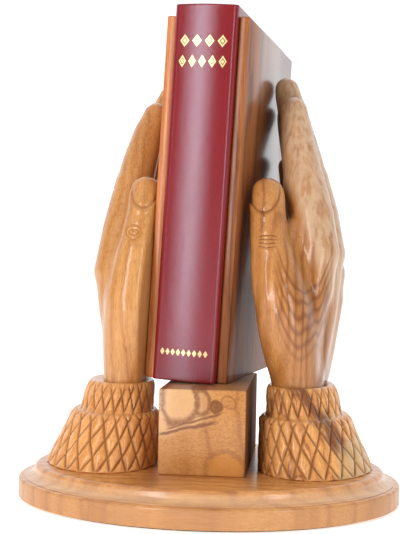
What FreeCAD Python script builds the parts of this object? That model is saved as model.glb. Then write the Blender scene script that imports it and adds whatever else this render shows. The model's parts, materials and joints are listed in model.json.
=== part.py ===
import FreeCAD, Part
import math
import os

# A carved olive-wood stand: two praying hands in flared cuffs, on a stepped oval base, hold a
# wood-bound book upright on a centre block.  Millimetres.  +Z is up, +X is to the right of
# someone who faces the spine and +Y is away from them.  The origin is the centre of the
# underside.  Each piece is its own node, and only the book moves: it slides up and out.

Vector = FreeCAD.Vector
os.makedirs("parts", exist_ok=True)

# Base: a felt pad under two oval boards.  The upper one spreads into a hollow moulding at its
# foot, down onto the lower one.
base_width = 207.0
base_depth = 172.0
felt_thickness = 1.2
felt_inset = 4.0
lower_board_thickness = 10.4
lower_board_round = 2.5
upper_board_inset = 8.5
upper_board_thickness = 6.8
upper_board_round = 2.8
moulding_spread = 5.5
moulding_height = 3.6
moulding_lip = 0.4

# Centre block, on which the book stands.
block_width = 45.5
block_depth = 102.0
block_height = 44.4
block_front = -40.0
block_chamfer = 0.8

# Countersunk wood screws, driven up through both boards before the felt goes on.
screw_length = 36.0
screw_diameter = 4.2
screw_head_diameter = 8.0
screw_head_height = 3.6
screw_clearance = 0.15
block_screw_spacing = 60.0
cuff_screw_spacing = 40.0

# Book: leather over cards, with a wooden board glued on each side.
book_height = 203.0
book_board_thickness = 5.5
book_board_depth = 128.0
book_board_height = 197.7
book_board_setback = 5.0
book_board_round = 1.0
leather_thickness = 0.8
leather_fore_edge = 1.0
spine_thickness = 1.4
spine_bulge = 2.0
card_thickness = 2.4
card_setback = 6.0
card_edge = 1.0
card_fore_edge = 2.0
spine_card_thickness = 1.0
spine_card_side_gap = 1.0
endpaper_thickness = 0.3
pages_thickness = 28.0
pages_setback = 5.0
pages_edge = 3.0
pages_fore_edge = 3.5
lining_thickness = 0.8
band_diameter = 2.4
gilt_thickness = 0.12
# Gold lozenges in rows: how many, their spacing, height up the spine, half width, half height.
head_rows = [(4, 7.0, 183.0, 2.6, 3.4), (5, 5.6, 172.0, 2.2, 3.4)]
foot_rows = [(9, 3.0, 15.5, 1.2, 1.9)]

# How the book stands: turned and leaned about its bottom front, just clear of the block.
book_turn = -9.2
book_lean = 2.6
book_front = -12.4
book_left_face = -36.9
book_clearance = 0.1

# Hands: the wrists stand outside the book's two faces, and nothing of a hand comes nearer
# to those faces than the slot clearance, so that the book can slide out.
slot_clearance = 0.4
fingers = ["index", "middle", "ring", "little", "thumb"]
wrist_height = 68.0
wrist_from_front = 12.0
hand_lean = 20.0
cuff_seat_height = 62.8
tenon_depth = 26.0
tenon_half_width = 11.5
tenon_half_depth = 19.0
tenon_clearance = 0.2
tenon_overlap = 0.5

# Each hand's joints, in a frame of its own at the wrist centre: outward from the book,
# backward from the thumb's side to the little finger's, upward along the leaning hand, and
# then the radius there, or the palm's half thickness and half width.  The two hands were
# carved by eye, so they differ a little.
carved_hands = {
    "right": {
        "side": 1,
        "wrist_gap": 39.1,
        "palm": [(0, 0, -12, 15, 24), (1.5, 0, 12, 15.5, 28), (5, 0, 40, 16, 34), (9, 0, 62, 13.5, 36)],
        "index": [(-1, -12, 4, 13.5), (10, -25, 64, 13.2), (1, -24, 103, 11.3), (-4, -23, 131, 9.3),
                  (-6.5, -22, 151, 8.1)],
        "middle": [(0.5, -4, 4, 14), (12, -8, 70, 13.2), (3, -8, 112, 11.5), (-4.5, -8, 146, 9.4),
                   (-11, -7, 173, 7.6)],
        "ring": [(0.5, 5, 4, 13.5), (11, 9, 68, 13), (2, 9, 108, 11), (-5, 8, 139, 9),
                 (-10, 8, 163, 7.4)],
        "little": [(-1, 13, 4, 13), (8.5, 25, 61, 12), (-0.5, 24, 93, 9.6), (-5.5, 23, 117, 8),
                   (-9, 22, 136, 6.8)],
        "thumb": [(-1, -13, -4, 15), (-6.5, -25, 9, 16), (-10, -33, 25, 15), (-15, -38, 44, 12.2),
                  (-17, -39, 60, 10.8), (-19, -39, 80, 9.4), (-19.8, -39, 90, 8.8)],
    },
    "left": {
        "side": -1,
        "wrist_gap": 11.6,
        "palm": [(0, 0, -12, 11.5, 24), (0.5, 0, 12, 12.5, 28), (4, 0, 32, 14, 33), (7, 0, 50, 13.8, 36)],
        "index": [(-0.5, -12, 4, 11), (8.5, -25, 49, 13.2), (0.5, -24, 100, 11.2), (-4.7, -23, 129, 9.4),
                  (-10, -22, 147, 8)],
        "middle": [(0, -4, 4, 11.5), (10, -8, 55, 13.2), (1.5, -8, 106, 11.3), (-6.5, -8, 140, 9.3),
                   (-15.5, -7, 167, 7.4)],
        "ring": [(0, 5, 4, 11.5), (9, 9, 54, 13), (0.5, 9, 102, 10.8), (-7, 8, 133, 8.8),
                 (-14.5, 8, 157, 7.2)],
        "little": [(-0.5, 13, 4, 11), (6.5, 25, 48, 12), (-2, 24, 88, 9.4), (-8, 23, 112, 7.8),
                   (-13, 22, 130, 6.6)],
        "thumb": [(-0.5, -13, -4, 12), (0, -23, 9, 13), (-0.5, -31, 25, 13), (-3.5, -37, 44, 11.3),
                  (-7, -39, 60, 9.6), (-8.7, -39, 80, 8.6), (-9.3, -39, 92, 8)],
    },
}

# Cuff sections from the board upward: height above the base, then outward and backward from
# the wrist's foot, and the half widths across and along.  A flare, a step and a band.
cuff_turn = 11.0
cuff_flare = [(0.0, 10.7, -13, 29.8, 43), (12.0, 8.0, -11, 27.0, 40), (28.6, 4.0, -9, 23.4, 36)]
cuff_band = [(26.0, 3.6, -9, 20.4, 32), (37.0, 2.6, -8, 19.6, 31), (42.4, 1.8, -7, 18.6, 30),
             (44.4, 1.5, -7, 17.0, 28.5)]

# Cutting solids reach this far past what they cut.
far = 400.0

# Places that follow from the sizes above.
lower_board_bottom = felt_thickness
upper_board_bottom = lower_board_bottom + lower_board_thickness
base_top = upper_board_bottom + upper_board_thickness
block_top = base_top + block_height
pages_half = pages_thickness / 2
card_inner = pages_half + endpaper_thickness
card_outer = card_inner + card_thickness
spine_half = card_outer + leather_thickness
book_half = spine_half + book_board_thickness
board_back = book_board_setback + book_board_depth
pages_front = pages_setback + lining_thickness
pages_back = board_back - pages_fore_edge


def box(x_low, x_high, y_low, y_high, z_low, z_high):
    return Part.makeBox(x_high - x_low, y_high - y_low, z_high - z_low, Vector(x_low, y_low, z_low))


def oval(half_width, half_depth, bottom, thickness):
    edge = Part.Ellipse(Vector(0, 0, bottom), half_width, half_depth).toShape()
    return Part.Face(Part.Wire(edge)).extrude(Vector(0, 0, thickness))


def edges_at(shape, height):
    return [edge for edge in shape.Edges if abs(edge.BoundBox.ZMin - height) + edge.BoundBox.ZLength < 1e-4]


def section(centre, across, normal, half_across, half_along):
    # One closed oval, square to the normal, with its start on the across direction so that a
    # skin over several of them doesn't twist.
    major = max(half_across, half_along)
    minor = min(half_across, half_along)
    wire = Part.Wire(Part.Ellipse(Vector(0, 0, 0), major, minor).toShape())
    if half_along > half_across:
        wire.rotate(Vector(0, 0, 0), Vector(0, 0, 1), 90)
    frame = FreeCAD.Rotation(across, Vector(0, 0, 0), normal, "ZXY")
    wire.Placement = FreeCAD.Placement(centre, frame) * wire.Placement
    return wire


def limb(joints, across):
    # A tapering limb through its joints with a domed end, as flat-ruled bands.
    wires = []
    for number, (centre, radius) in enumerate(joints):
        before = joints[max(number - 1, 0)][0]
        after = joints[min(number + 1, len(joints) - 1)][0]
        wires.append(section(centre, across, (after - before).normalize(), radius * 1.0001, radius))
    tip, radius = joints[-1]
    ahead = (tip - joints[-2][0]).normalize()
    for degrees in (30, 55, 75):
        angle = math.radians(degrees)
        rim = radius * math.cos(angle)
        wires.append(section(tip + ahead * (radius * math.sin(angle)), across, ahead, rim * 1.0001, rim))
    return Part.makeLoft(wires, True, True)


def screw(x, y, grow):
    # Head down at the underside of the lower board; grow widens it into its clearance hole.
    radius = screw_diameter / 2 + grow
    head_radius = screw_head_diameter / 2 + grow
    bottom = Vector(x, y, lower_board_bottom)
    head = Part.makeCone(head_radius, radius, screw_head_height, bottom)
    shank = Part.makeCylinder(radius, screw_length, bottom)
    return head.fuse(shank).removeSplitter()


def cut_all(shape, tools):
    for tool in tools:
        shape = shape.cut(tool)
    return shape


def book_placement():
    # The turned and leaned book frame: its origin is the spine's bottom front centre.  The
    # lean brings the right-hand lower edge down, and the book stands on that edge.
    turn = FreeCAD.Rotation(Vector(0, 0, 1), book_turn)
    lean = FreeCAD.Rotation(Vector(0, 1, 0), book_lean)
    lift = book_clearance + book_half * math.sin(math.radians(book_lean))
    origin = Vector(book_left_face + book_half, book_front, block_top + lift)
    return FreeCAD.Placement(origin, turn.multiply(lean))


book_frame = book_placement()


def in_book(shape):
    placed = shape.copy()
    placed.Placement = book_frame.multiply(placed.Placement)
    return placed


def hand_frame(name):
    # Where a wrist is, and the directions outward, backward and upward along the hand.
    hand = carved_hands[name]
    side = hand["side"]
    face = book_left_face if side < 0 else book_left_face + 2 * book_half
    lean = math.radians(hand_lean)
    origin = Vector(face + side * hand["wrist_gap"], wrist_from_front, wrist_height)
    outward = Vector(side, 0, 0)
    backward = Vector(0, math.cos(lean), -math.sin(lean))
    upward = Vector(0, math.sin(lean), math.cos(lean))
    return origin, outward, backward, upward


def in_hand(name, out, back, up):
    origin, outward, backward, upward = hand_frame(name)
    return origin + outward * out + backward * back + upward * up


def cuff_point(name, height, out, back):
    origin, outward, _, _ = hand_frame(name)
    return Vector(origin.x + outward.x * out, origin.y + back, base_top + height)


def cuff_screw_places(name):
    middle = cuff_point(name, 0, cuff_flare[0][1], cuff_flare[0][2])
    turn = math.radians(cuff_turn) * carved_hands[name]["side"]
    places = []
    for half in (-cuff_screw_spacing / 2, cuff_screw_spacing / 2):
        places.append((middle.x + half * math.sin(turn), middle.y + half * math.cos(turn)))
    return places


def block_screw_places():
    middle = block_front + block_depth / 2
    return [(0, middle - block_screw_spacing / 2), (0, middle + block_screw_spacing / 2)]


def all_screw_places():
    return block_screw_places() + cuff_screw_places("left") + cuff_screw_places("right")


def clearance_holes():
    return [screw(x, y, screw_clearance) for x, y in all_screw_places()]


def base_felt():
    return oval(base_width / 2 - felt_inset, base_depth / 2 - felt_inset, 0, felt_thickness)


def base_lower_board():
    board = oval(base_width / 2, base_depth / 2, lower_board_bottom, lower_board_thickness)
    board = board.makeFillet(lower_board_round, edges_at(board, upper_board_bottom))
    return cut_all(board, clearance_holes())


def moulding(half_width, half_depth):
    # The hollow foot: a thin lip, then a quarter-oval curve from level up to plumb.
    foot = oval(half_width + moulding_spread, half_depth + moulding_spread, upper_board_bottom, moulding_lip)
    wires = []
    for degrees in (0, 15, 30, 45, 60, 75, 90):
        spread = moulding_spread * (1 - math.sin(math.radians(degrees)))
        height = moulding_height * (1 - math.cos(math.radians(degrees)))
        centre = Vector(0, 0, upper_board_bottom + moulding_lip + height)
        wires.append(Part.Wire(Part.Ellipse(centre, half_width + spread, half_depth + spread).toShape()))
    return foot.fuse(Part.makeLoft(wires, True, True))


def base_upper_board():
    half_width = base_width / 2 - upper_board_inset
    half_depth = base_depth / 2 - upper_board_inset
    board = oval(half_width, half_depth, upper_board_bottom, upper_board_thickness)
    board = board.makeFillet(upper_board_round, edges_at(board, base_top))
    board = board.fuse(moulding(half_width, half_depth)).removeSplitter()
    return cut_all(board, clearance_holes())


def centre_block():
    half = block_width / 2
    block = box(-half, half, block_front, block_front + block_depth, base_top, block_top)
    outer = [edge for edge in block.Edges if edge.BoundBox.ZMax > block_top - 1e-4]
    block = block.makeChamfer(block_chamfer, outer)
    return cut_all(block, [screw(x, y, 0) for x, y in block_screw_places()])


def cuff_skin(name, sections):
    turn = math.radians(cuff_turn) * carved_hands[name]["side"]
    across = Vector(math.cos(turn), -math.sin(turn), 0)
    wires = []
    for height, out, back, half_across, half_along in sections:
        centre = cuff_point(name, height, out, back)
        wires.append(section(centre, across, Vector(0, 0, 1), half_across, half_along))
    return Part.makeLoft(wires, True, True)


def tenon(name, grow):
    # The oval peg under the wrist, and with grow its socket in the cuff.
    origin = hand_frame(name)[0]
    bottom = Vector(origin.x, origin.y, cuff_seat_height - tenon_depth - grow)
    foot = section(bottom, Vector(1, 0, 0), Vector(0, 0, 1), tenon_half_width + grow, tenon_half_depth + grow)
    return Part.Face(foot).extrude(Vector(0, 0, tenon_depth + grow + tenon_overlap))


def cuff(name):
    body = cuff_skin(name, cuff_flare).fuse(cuff_skin(name, cuff_band)).removeSplitter()
    body = body.cut(tenon(name, tenon_clearance))
    return cut_all(body, [screw(x, y, 0) for x, y in cuff_screw_places(name)])


def hand(name):
    shape = carved_hands[name]
    outward, upward = hand_frame(name)[1], hand_frame(name)[3]
    wires = []
    for out, back, up, half_across, half_along in shape["palm"]:
        wires.append(section(in_hand(name, out, back, up), Vector(1, 0, 0), upward, half_across, half_along))
    body = Part.makeLoft(wires, True, True)
    for finger in fingers:
        line = [(in_hand(name, out, back, up), radius) for out, back, up, radius in shape[finger]]
        body = body.fuse(limb(line, outward))
    body = body.cut(box(-far, far, -far, far, -far, cuff_seat_height))
    return body.cut(book_slot()).fuse(tenon(name, 0))


def book_slot():
    # Everything between the book's two faces, over its whole way out.
    half = book_half + slot_clearance
    return in_book(box(-half, half, -far, far, -far, far))


def spine_arc(offset, z_low, z_high, half):
    # The solid between the spine's rounded front, moved forward by the offset, and a chord
    # well behind it.
    left = Vector(-half, -offset, 0)
    right = Vector(half, -offset, 0)
    middle = Vector(0, -spine_bulge - offset, 0)
    front = Part.Arc(left, middle, right).toShape()
    corners = [right, Vector(half, spine_thickness, 0), Vector(-half, spine_thickness, 0), left]
    wire = Part.Wire([front, Part.makePolygon(corners)])
    solid = Part.Face(Part.Wire(wire.Edges)).extrude(Vector(0, 0, z_high - z_low))
    solid.translate(Vector(0, 0, z_low))
    return solid


def leather_cover():
    # Spine and both sides in one skin: a channel that is open at the fore edge.
    spine = spine_arc(0, 0, book_height, spine_half)
    back = board_back - leather_fore_edge
    left = box(-spine_half, -card_outer, spine_thickness, back, 0, book_height)
    right = box(card_outer, spine_half, spine_thickness, back, 0, book_height)
    return spine.fuse(left).fuse(right).removeSplitter()


def wooden_board(side):
    near = spine_half if side > 0 else -book_half
    board = box(near, near + book_board_thickness, book_board_setback, board_back, 0, book_board_height)
    return board.makeFillet(book_board_round, board.Edges)


def cover_card(side):
    near = card_inner if side > 0 else -card_outer
    return box(near, near + card_thickness, card_setback, board_back - card_fore_edge,
               card_edge, book_height - card_edge)


def spine_card():
    half = card_inner - spine_card_side_gap
    return box(-half, half, spine_thickness, spine_thickness + spine_card_thickness,
               card_edge, book_height - card_edge)


def endpaper(side):
    near = pages_half if side > 0 else -card_inner
    return box(near, near + endpaper_thickness, pages_front, pages_back, pages_edge, book_height - pages_edge)


def text_block():
    return box(-pages_half, pages_half, pages_front, pages_back, pages_edge, book_height - pages_edge)


def spine_lining():
    return box(-pages_half, pages_half, pages_setback, pages_front,
               pages_edge + band_diameter, book_height - pages_edge - band_diameter)


def sewn_band(z_centre):
    # A half-round silk band across the end of the pages' spine.
    end = Vector(-pages_half, pages_front, z_centre)
    rod = Part.makeCylinder(band_diameter / 2, pages_thickness, end, Vector(1, 0, 0))
    return rod.cut(box(-far, far, pages_front, far, 0, book_height))


def lozenge(x, z, half_width, half_height):
    left = Vector(x - half_width, -far, z)
    right = Vector(x + half_width, -far, z)
    below = Vector(x, -far, z - half_height)
    above = Vector(x, -far, z + half_height)
    return Part.Face(Part.makePolygon([left, below, right, above, left])).extrude(Vector(0, far, 0))


def gilt_row(count, spacing, z, half_width, half_height):
    # A row of gold lozenges that follow the rounded spine.
    skin = spine_arc(gilt_thickness, 0, book_height, spine_half).cut(spine_arc(0, 0, book_height, spine_half))
    marks = []
    for number in range(count):
        x = (number - (count - 1) / 2) * spacing
        marks.append(skin.common(lozenge(x, z, half_width, half_height)).Solids[0])
    return marks


def ornament(rows):
    marks = []
    for count, spacing, z, half_width, half_height in rows:
        marks += gilt_row(count, spacing, z, half_width, half_height)
    return Part.makeCompound(marks)


def save(node, shape):
    shape.exportStep("parts/" + node + ".step")
    print(node, "solids", len(shape.Solids), "valid", shape.isValid(), "volume", round(shape.Volume, 1))


save("base_felt", base_felt())
save("base_lower_board", base_lower_board())
save("base_upper_board", base_upper_board())
save("centre_block", centre_block())
save("block_screws", Part.makeCompound([screw(x, y, 0) for x, y in block_screw_places()]))
for name in ("left", "right"):
    save(name + "_cuff_screws", Part.makeCompound([screw(x, y, 0) for x, y in cuff_screw_places(name)]))
    save(name + "_cuff", cuff(name))
    save(name + "_hand", hand(name))

save("leather_cover", in_book(leather_cover()))
save("back_wooden_board", in_book(wooden_board(-1)))
save("front_wooden_board", in_book(wooden_board(1)))
save("back_cover_card", in_book(cover_card(-1)))
save("front_cover_card", in_book(cover_card(1)))
save("spine_card", in_book(spine_card()))
save("back_endpaper", in_book(endpaper(-1)))
save("front_endpaper", in_book(endpaper(1)))
save("text_block", in_book(text_block()))
save("spine_lining", in_book(spine_lining()))
save("tail_band", in_book(sewn_band(pages_edge + band_diameter / 2)))
save("head_band", in_book(sewn_band(book_height - pages_edge - band_diameter / 2)))
save("head_ornament", in_book(ornament(head_rows)))
save("foot_ornament", in_book(ornament(foot_rows)))
print("book axis", in_book(Part.Vertex(0, 0, 1)).Point - in_book(Part.Vertex(0, 0, 0)).Point)
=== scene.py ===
import json
import math

import bmesh
import bpy
import numpy as np
from mathutils import Matrix, Vector


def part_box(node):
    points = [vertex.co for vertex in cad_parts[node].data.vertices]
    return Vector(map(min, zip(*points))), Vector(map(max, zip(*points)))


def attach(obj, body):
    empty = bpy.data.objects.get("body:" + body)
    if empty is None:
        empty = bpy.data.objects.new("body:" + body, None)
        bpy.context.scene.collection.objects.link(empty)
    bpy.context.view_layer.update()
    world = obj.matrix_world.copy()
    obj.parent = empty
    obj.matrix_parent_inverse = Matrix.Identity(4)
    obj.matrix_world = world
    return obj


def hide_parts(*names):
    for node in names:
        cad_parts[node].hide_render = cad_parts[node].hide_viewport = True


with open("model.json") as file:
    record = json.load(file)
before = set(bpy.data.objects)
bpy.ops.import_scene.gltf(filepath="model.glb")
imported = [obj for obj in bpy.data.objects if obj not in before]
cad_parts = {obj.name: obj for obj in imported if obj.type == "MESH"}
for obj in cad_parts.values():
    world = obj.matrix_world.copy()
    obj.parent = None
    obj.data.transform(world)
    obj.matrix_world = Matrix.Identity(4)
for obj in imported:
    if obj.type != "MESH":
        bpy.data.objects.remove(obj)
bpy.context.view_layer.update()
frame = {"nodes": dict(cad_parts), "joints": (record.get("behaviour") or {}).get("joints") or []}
nodes = frame["nodes"]
mm = 0.001
print("frame loaded:", len(nodes), "nodes")


class Signal:
    # A node's output that takes part in arithmetic: each operator adds one Math node.
    def __init__(self, graph, socket):
        self.graph = graph
        self.socket = socket

    def siblings(self):
        return [Signal(self.graph, output) for output in self.socket.node.outputs]

    def math(self, operation, *others):
        return self.graph.node("ShaderNodeMath", {"operation": operation}, dict(enumerate((self,) + others)))

    def __add__(self, other):
        return self.math("ADD", other)

    def __sub__(self, other):
        return self.math("SUBTRACT", other)

    def __mul__(self, other):
        return self.math("MULTIPLY", other)

    def __truediv__(self, other):
        return self.math("DIVIDE", other)

    def __pow__(self, other):
        return self.math("POWER", other)

    def __neg__(self):
        return self.math("MULTIPLY", -1.0)

    def __abs__(self):
        return self.math("ABSOLUTE")

    __radd__ = __add__
    __rmul__ = __mul__

    def __rsub__(self, other):
        return (-self) + other

    def __rtruediv__(self, other):
        return (self ** -1.0) * other


class Graph:
    # A shader or geometry tree, with one way to add any node.
    def __init__(self, tree):
        self.tree = tree

    def node(self, kind, settings=None, inputs=None, output=0):
        made = self.tree.nodes.new(kind)
        for name, value in (settings or {}).items():
            if name == "stops":
                fillRamp(made.color_ramp, value)
            else:
                setattr(made, name, value)
        for name, value in (inputs or {}).items():
            if isinstance(value, Signal):
                self.tree.links.new(value.socket, made.inputs[name])
            else:
                made.inputs[name].default_value = value
        return Signal(self, made.outputs[output]) if made.outputs else made

    def smooth(self, value, low, high):
        # 0 below low, 1 above high, eased between them; low may be the larger.
        return self.node("ShaderNodeMapRange", {"interpolation_type": "SMOOTHSTEP"},
                         {"Value": value, "From Min": low, "From Max": high})

    def ramp(self, value, stops):
        return self.node("ShaderNodeValToRGB", {"stops": stops}, {"Fac": value})

    def blend(self, factor, first, second, mode="MIX"):
        return self.node("ShaderNodeMix", {"data_type": "RGBA", "blend_type": mode},
                         {"Factor": factor, 6: first, 7: second}, 2)

    def noise(self, vector, scale, detail=3.0, roughness=0.5, output=0, seed=0.0):
        return self.node("ShaderNodeTexNoise", {"noise_dimensions": "4D"},
                         {"Vector": vector, "W": seed, "Scale": scale, "Detail": detail,
                          "Roughness": roughness}, output)

    def vector(self, operation, first, second):
        return self.node("ShaderNodeVectorMath", {"operation": operation}, {0: first, 1: second})

    def scaled(self, vector, amount):
        return self.node("ShaderNodeVectorMath", {"operation": "SCALE"}, {0: vector, "Scale": amount})

    def parts(self, vector):
        return self.node("ShaderNodeSeparateXYZ", None, {"Vector": vector}).siblings()


def fillRamp(ramp, stops):
    while len(ramp.elements) < len(stops):
        ramp.elements.new(1.0)
    for element, (place, colour) in zip(ramp.elements, stops):
        element.position = place
        element.color = (*colour, 1.0)


def newMaterial(name):
    material = bpy.data.materials.new(name)
    material.use_nodes = True
    material.node_tree.nodes.clear()
    return material, Graph(material.node_tree)


def finishMaterial(graph, colour, roughness, normal, fixed, coat=0.0):
    # Ends a material in one Principled shader; fixed sockets are the same all over.
    inputs = {"Base Color": colour, "Roughness": roughness, "Coat Weight": coat, **fixed}
    if normal:
        inputs["Normal"] = normal
    shader = graph.node("ShaderNodeBsdfPrincipled", None, inputs)
    graph.node("ShaderNodeOutputMaterial", None, {"Surface": shader})


def bump(graph, height, strength, distance):
    return graph.node("ShaderNodeBump", None, {"Strength": strength, "Distance": distance, "Height": height})


def objectMillimetres(graph):
    coordinates = graph.node("ShaderNodeTexCoord", None, None, 3)
    return graph.scaled(coordinates, 1 / mm)


def turned(graph, vector, centre, angles, scale):
    # Moves a pattern's origin to centre, turns it and stretches it.
    moved = graph.vector("SUBTRACT", vector, centre)
    return graph.node("ShaderNodeMapping", {"vector_type": "POINT"},
                      {"Vector": moved, "Rotation": [math.radians(a) for a in angles], "Scale": scale})


def newObject(name, points, faces, material, smooth=True):
    mesh = bpy.data.meshes.new(name)
    mesh.from_pydata([tuple(p) for p in points], [], [tuple(f) for f in faces])
    mesh.validate()
    mesh.materials.append(material)
    if smooth:
        mesh.shade_smooth()
    made = bpy.data.objects.new(name, mesh)
    bpy.context.scene.collection.objects.link(made)
    return made


def bake(piece):
    # Turns the modifiers' result into a plain mesh on the same object.
    evaluated = piece.evaluated_get(bpy.context.evaluated_depsgraph_get())
    mesh = bpy.data.meshes.new_from_object(evaluated)
    piece.modifiers.clear()
    piece.data = mesh
    return piece


def place(piece, body, replaced=(), slot=None):
    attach(piece, body)
    if replaced:
        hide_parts(*replaced)
    return piece


def dress(names, material):
    # Gives CAD nodes their finished material.
    for name in names:
        nodes[name].data.materials.clear()
        nodes[name].data.materials.append(material)


def nodePoints(name):
    mesh = nodes[name].data
    points = np.empty(len(mesh.vertices) * 3)
    mesh.vertices.foreach_get("co", points)
    return points.reshape(-1, 3)


# The book's turn and lean come from the way it lifts.
liftAxis = Vector(frame["joints"][0]["axis"]).normalized()
bookTurn = math.atan2(liftAxis.y, liftAxis.x)
bookLean = math.acos(liftAxis.z)
bookMatrix = Matrix.Rotation(bookTurn, 4, "Z") @ Matrix.Rotation(bookLean, 4, "Y")
bookRows = np.array(bookMatrix.to_3x3())


def bookBox(name):
    # A node's box in the book's own directions: across the spine, back from it and up.
    local = nodePoints(name) @ bookRows
    return local.min(0), local.max(0)


oliveFinish = {"Coat Roughness": 0.20, "Coat IOR": 1.45, "Specular IOR Level": 0.15}

# centre, angles, stretch: the axis that the growth rings go round; fibre: how the grain is drawn out
oliveLooks = {
    "rightHand": {"centre": (35, 0, 122), "angles": (90, 0, 8), "stretch": (1.0, 0.55, 0.22),
                  "fibre": (1, 1, 0.05),
                  "ring": 0.17, "swirl": 9.0, "calm": 0.42, "line": 0.42, "light": (0.54, 0.255, 0.078),
                  "middle": (0.41, 0.155, 0.038),
                  "dark": (0.17, 0.046, 0.010), "veins": 0.50, "patches": 0.28, "coat": 0.85, "seed": 4.0},
    "leftHand": {"centre": (-150, 30, 60), "angles": (4, 3, 0), "stretch": (1.0, 1.0, 0.10),
                 "fibre": (1, 1, 0.07),
                 "ring": 0.16, "swirl": 5.0, "light": (0.62, 0.318, 0.106), "middle": (0.50, 0.210, 0.054),
                 "dark": (0.36, 0.130, 0.034), "veins": 0.45, "patches": 0.25, "coat": 0.85, "seed": 1.0},
    "rightCuff": {"centre": (140, 20, 10), "angles": (4, 20, 0), "stretch": (1.0, 1.0, 0.22),
                  "fibre": (1, 1, 0.10),
                  "ring": 0.15, "swirl": 6.0, "light": (0.82, 0.420, 0.140), "middle": (0.66, 0.280, 0.075),
                  "dark": (0.24, 0.070, 0.016), "veins": 0.70, "patches": 0.35, "coat": 0.80, "seed": 9.0},
    "leftCuff": {"centre": (-150, 60, 20), "angles": (5, -8, 0), "stretch": (1.0, 1.0, 0.20),
                 "fibre": (1, 1, 0.10),
                 "ring": 0.12, "swirl": 6.0, "light": (0.84, 0.420, 0.140), "middle": (0.70, 0.300, 0.080),
                 "dark": (0.34, 0.110, 0.026), "veins": 0.50, "patches": 0.30, "coat": 0.80, "seed": 6.0},
    "block": {"centre": (-60, -40, -60), "angles": (90, 0, 22), "stretch": (0.5, 1.0, 0.2),
              "fibre": (0.5, 0.2, 1),
              "ring": 0.12, "swirl": 9.0, "light": (0.61, 0.295, 0.094), "middle": (0.53, 0.232, 0.064),
              "dark": (0.27, 0.095, 0.026), "veins": 0.40, "patches": 0.25, "coat": 0.70, "seed": 3.0},
    "base": {"centre": (0, 260, -140), "angles": (0, 90, 0), "stretch": (1.0, 1.0, 0.18),
             "fibre": (0.07, 1, 1),
             "ring": 0.10, "swirl": 7.0, "calm": 0.38, "line": 0.45, "light": (0.70, 0.335, 0.105),
             "middle": (0.55, 0.220, 0.058),
             "dark": (0.27, 0.090, 0.024), "veins": 0.35, "patches": 0.35, "coat": 0.75, "seed": 5.0},
    "leftBoard": {"centre": (-100, 40, 60), "angles": (3, 2, 0), "stretch": (1.0, 0.5, 0.12),
                  "fibre": (1, 1, 0.06),
                  "ring": 0.25, "swirl": 4.0, "light": (0.60, 0.215, 0.055), "middle": (0.50, 0.150, 0.035),
                  "dark": (0.26, 0.080, 0.020), "veins": 0.55, "patches": 0.20, "coat": 0.5, "seed": 11.0},
    # A shaded copy of the board wood: its darker colours are painted shade, for the face that the right hand
    # shades.
    "rightBoard": {"centre": (60, 50, 60), "angles": (3, 4, 0), "stretch": (1.0, 0.5, 0.12),
                   "fibre": (1, 1, 0.06),
                   "ring": 0.13, "swirl": 9.0, "light": (0.36, 0.125, 0.034), "middle": (0.20, 0.058, 0.015),
                   "dark": (0.07, 0.020, 0.007), "veins": 0.60, "patches": 0.50, "coat": 1.0, "seed": 8.0},
}


def oliveWood(name, marks=None):
    # Rings about an axis, bent by noise, give the figure; thin dark veins follow some of them;
    # fine fibres and pores run along the grain.  marks adds a piece's own lines, patches, painted shade and
    # highlights.
    look = oliveLooks[name]
    material, g = newMaterial(name + "OliveWood")
    p = objectMillimetres(g)
    figure = turned(g, p, look["centre"], look["angles"], look["stretch"])
    seed = look["seed"]
    bend = g.noise(figure, 0.024, 2.0, 0.45, 1, seed)
    bent = g.vector("ADD", figure, g.scaled(g.vector("SUBTRACT", bend, (0.5, 0.5, 0.5)), look["swirl"] * 4))
    across, along, _ = g.parts(bent)
    radius = (across * across + along * along) ** 0.5
    ring = radius * look["ring"] + g.noise(figure, 0.09, 3.0, 0.55, 0, seed + 3.1) * 1.8
    saw = abs(ring.math("FRACT") - 0.5) * 2.0
    calm = look.get("calm", 0.44)
    veinMask = g.smooth(g.noise(figure, 0.045, 1.0, 0.5, 0, seed + 7.7), calm, calm + 0.14)
    vein = g.smooth(saw, look.get("line", 0.26), 0.0) * veinMask
    band = g.smooth(saw, 0.05, 0.95)
    long = g.vector("MULTIPLY", p, look["fibre"])
    fibres = g.noise(long, 1.5, 3.0, 0.6, 0, seed)
    streaks = g.noise(long, 0.30, 2.0, 0.5, 0, seed + 2.2)
    pores = g.noise(g.vector("MULTIPLY", p, [0.5 + v / 2 for v in look["fibre"]]), 2.6, 2.0, 0.5, 0,
                    seed + 1.3)
    patch = g.smooth(g.noise(figure, 0.020, 2.0, 0.5, 0, seed + 5.2), 0.42, 0.66)
    colour = g.blend(band * 0.6 + streaks * 0.4, look["middle"] + (1,), look["light"] + (1,))
    colour = g.blend(patch * look["patches"], colour, look["dark"] + (1,))
    colour = g.blend(vein * (0.35 + streaks * 1.3) * look["veins"], colour, look["dark"] + (1,))
    tint = g.ramp(fibres, [(0.28, (0.74, 0.66, 0.56)), (0.62, (1.08, 1.07, 1.06))])
    colour = g.blend(1.0, colour, tint, "MULTIPLY")
    colour = g.blend(g.smooth(pores, 0.40, 0.30) * 0.28, colour, look["dark"] + (1,))
    relief = fibres * 0.3 + vein * 0.2
    coat = look["coat"]
    if marks:
        colour, cut, dulled = marks(g, p, colour, look)
        relief = relief - cut * 2.2
        coat = (1 - dulled) * coat
    normal = bump(g, relief, 0.14 if look["coat"] < 1 else 0.03, 0.0005)
    roughness = 0.36 + fibres * 0.12 + (dulled * 0.5 if marks else 0.0)
    finishMaterial(g, colour, roughness, normal, oliveFinish, coat)
    return material


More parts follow.
